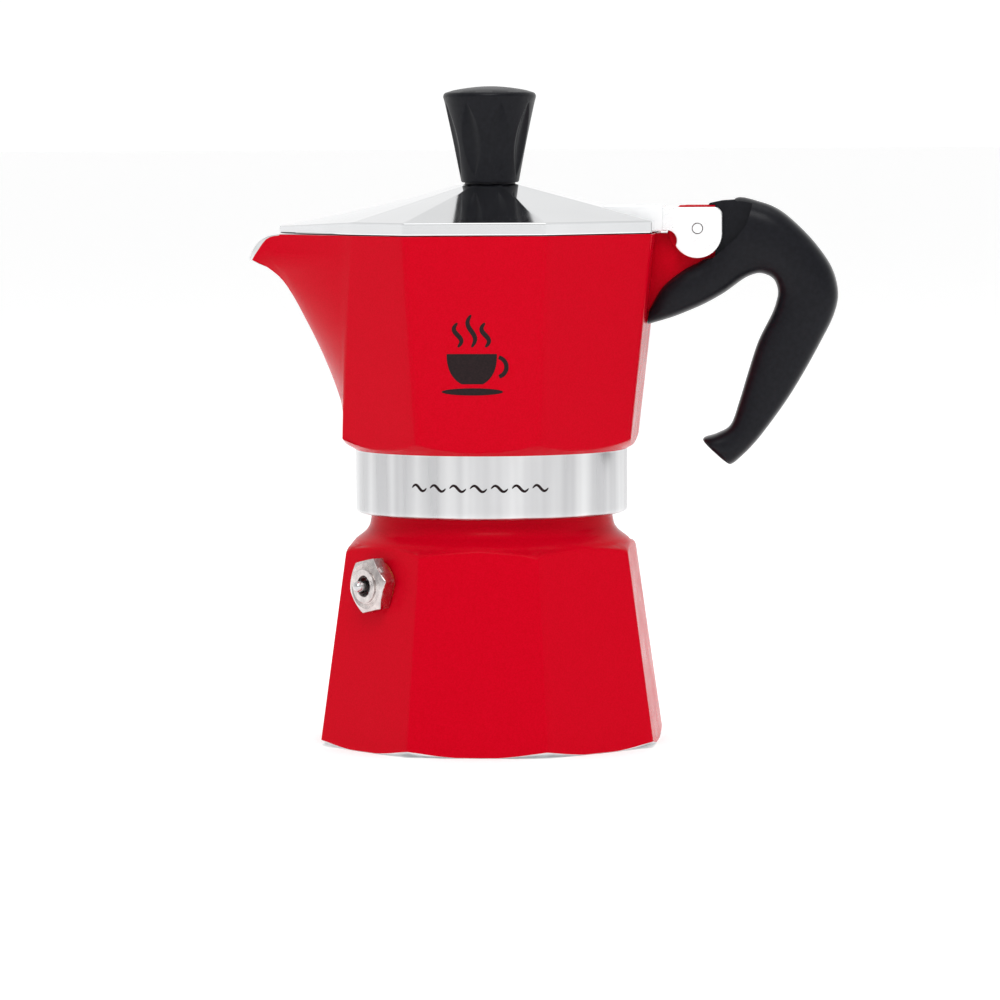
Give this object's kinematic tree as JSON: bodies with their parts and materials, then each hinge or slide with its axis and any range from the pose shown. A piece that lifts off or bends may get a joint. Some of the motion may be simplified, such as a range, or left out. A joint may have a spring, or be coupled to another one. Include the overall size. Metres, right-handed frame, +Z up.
{
  "type": "moka pot",
  "caption": "Stovetop coffee pot: octagonal boiler with safety valve, funnel basket, screw-on collector with spout, hinged lid, plastic knob and handle.",
  "frame": {"origin": "centre of the boiler's foot, on the surface that the pot stands on", "axes": "+Z up along the pot's axis, +X towards the handle, -X towards the spout"},
  "size_m": [0.1489, 0.0842, 0.1652],
  "materials": {
    "red_enamel": "gloss baked enamel on cast aluminium, bare machined metal at the foot, the band and the spout's lip",
    "cast_aluminium": "satin casting",
    "polished_aluminium": "polished",
    "drawn_aluminium": "satin pressed sheet",
    "valve_steel": "turned, nickel plated",
    "spring_steel": "drawn wire",
    "brass": "turned",
    "seal_rubber": "matt",
    "black_plastic": "satin moulded"
  },
  "bodies": {
    "boiler": {"boiler": "red_enamel", "valve_washer": "brass", "valve_body": "valve_steel", "valve_retainer": "brass", "valve_spring": "spring_steel"},
    "valve_plunger": {"valve_pin": "spring_steel", "valve_seal": "seal_rubber"},
    "funnel": {"funnel": "drawn_aluminium", "funnel_sieve": "drawn_aluminium"},
    "seal": {"gasket": "seal_rubber", "filter_plate": "drawn_aluminium"},
    "collector": {"collector": "red_enamel", "chimney": "cast_aluminium", "handle": "black_plastic", "handle_screw": "spring_steel"},
    "lid": {"lid": "polished_aluminium", "hinge_pin": "spring_steel", "knob": "black_plastic", "knob_washer": "black_plastic", "knob_insert": "brass", "knob_screw": "spring_steel"}
  },
  "joints": [
    {"name": "valve_press", "type": "slide", "parent": "boiler", "child": "valve_plunger", "axis": [-0.7071, -0.7071, 0], "range_m": [0, 0.0015], "stiffness_N_per_m": 1500, "springref_m": -0.0025, "deforming": ["valve_spring"]},
    {"name": "funnel_lift", "type": "slide", "parent": "boiler", "child": "funnel", "axis": [0, 0, 1], "range_m": [0, 0.07]},
    {"name": "collector_rise", "type": "slide", "parent": "funnel", "child": "seal", "axis": [0, 0, 1], "range_m": [0, 0.0053]},
    {"name": "collector_turn", "type": "hinge", "parent": "seal", "child": "collector", "pos_m": [0, 0, 0.06], "axis": [0, 0, 1], "range_deg": [0, 630]},
    {"name": "lid_hinge", "type": "hinge", "parent": "collector", "child": "lid", "pos_m": [0.0527, 0, 0.1294], "axis": [0, 1, 0], "range_deg": [0, 95]}
  ],
  "couplings": [
    {"joint": "collector_rise", "follows": "collector_turn", "m_per_rad": 0.00047746}
  ]
}
